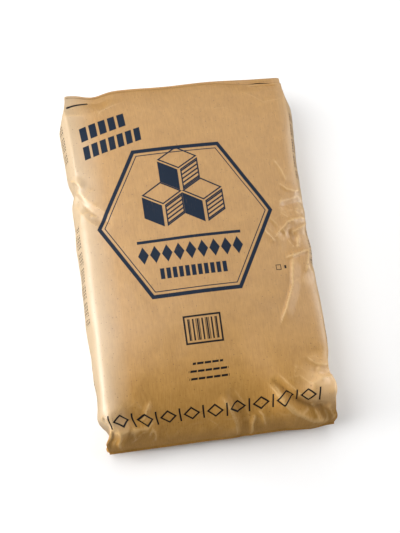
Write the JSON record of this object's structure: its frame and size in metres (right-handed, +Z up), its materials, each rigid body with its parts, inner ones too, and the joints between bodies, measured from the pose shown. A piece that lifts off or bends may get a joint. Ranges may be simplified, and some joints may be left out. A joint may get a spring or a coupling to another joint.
{
  "type": "bag of sugar",
  "caption": "Full kraft paper sack of sugar lying on its back, with gusseted sides, a flat lip at the high end and folded ears at the low end.",
  "frame": {"origin": "on the floor, under the middle of the bag", "axes": "+Y along the bag towards its top end, +Z up from the floor through the printed front, X across the bag"},
  "size_m": [0.4104, 0.609, 0.1307],
  "materials": {
    "kraft_paper": "matte"
  },
  "bodies": {
    "root": {"bag": "kraft_paper"}
  },
  "joints": []
}
